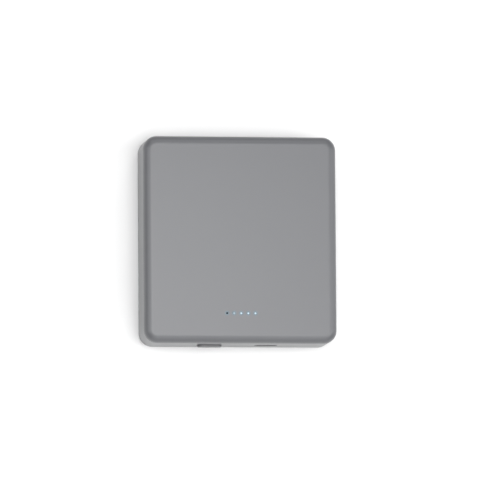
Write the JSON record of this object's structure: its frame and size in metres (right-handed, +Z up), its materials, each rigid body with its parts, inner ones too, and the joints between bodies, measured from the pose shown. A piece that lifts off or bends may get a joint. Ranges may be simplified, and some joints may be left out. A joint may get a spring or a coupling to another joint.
{
  "type": "power station",
  "caption": "Palm-sized portable battery pack in a split plastic case with a push button, a USB-C socket and a row of charge lights.",
  "frame": {"origin": "centre of the underside, where the pack stands", "axes": "+Z up through the lid, -Y towards the button and the socket, +X to the right as seen from the button side"},
  "size_m": [0.079, 0.0854, 0.024],
  "materials": {
    "case_plastic": "fine matte texture",
    "button_plastic": "fine matte texture",
    "clear_plastic": "polished, frosted tips",
    "black_plastic": "moulded",
    "steel": "plated",
    "nickel": "bright nickel",
    "solder_mask": "solder mask",
    "ferrite": "pressed powder",
    "ceramic": "fired ceramic with tinned ends",
    "led_package": "moulded with a clear lens",
    "cell_sleeve": "shrunk film",
    "insulating_paper": "pressed fibre",
    "foam": "closed-cell foam",
    "label_film": "printed film with no lettering",
    "red_silicone": "smooth",
    "black_silicone": "smooth",
    "sensor_epoxy": "dipped epoxy"
  },
  "bodies": {
    "case": {"lower_shell": "case_plastic", "upper_shell": "case_plastic", "rating_label": "label_film", "case_screw_left": "steel", "case_screw_right": "steel", "switch_housing": "black_plastic", "switch_cover": "steel", "switch_dome": "nickel", "usb_shell": "steel", "usb_tongue": "black_plastic", "main_board": "solder_mask", "power_inductor": "ferrite", "charge_controller": "black_plastic", "boost_controller": "black_plastic", "protection_mosfet": "black_plastic", "capacitor_1": "ceramic", "capacitor_2": "ceramic", "capacitor_3": "ceramic", "capacitor_4": "ceramic", "board_screw_left": "steel", "board_screw_right": "steel", "led_1": "led_package", "led_2": "led_package", "led_3": "led_package", "led_4": "led_package", "led_5": "led_package", "light_guide": "clear_plastic", "light_baffle": "black_plastic", "cell_1_can": "steel", "cell_1_sleeve": "cell_sleeve", "cell_1_cap": "nickel", "cell_2_can": "steel", "cell_2_sleeve": "cell_sleeve", "cell_2_cap": "nickel", "cell_3_can": "steel", "cell_3_sleeve": "cell_sleeve", "cell_3_cap": "nickel", "cell_4_can": "steel", "cell_4_sleeve": "cell_sleeve", "cell_4_cap": "nickel", "positive_strip": "nickel", "negative_strip": "nickel", "front_insulator": "insulating_paper", "rear_insulator": "insulating_paper", "lower_foam_pad": "foam", "upper_foam_pad": "foam", "negative_lead": "black_silicone", "positive_lead": "red_silicone", "temperature_sensor": "sensor_epoxy"},
    "button": {"power_button": "button_plastic", "switch_plunger": "led_package"}
  },
  "joints": [
    {"name": "button_press", "type": "slide", "parent": "case", "child": "button", "axis": [0, 1, 0], "range_m": [0, 0.0004], "stiffness_N_per_m": 4000, "deforming": ["switch_dome"]}
  ]
}
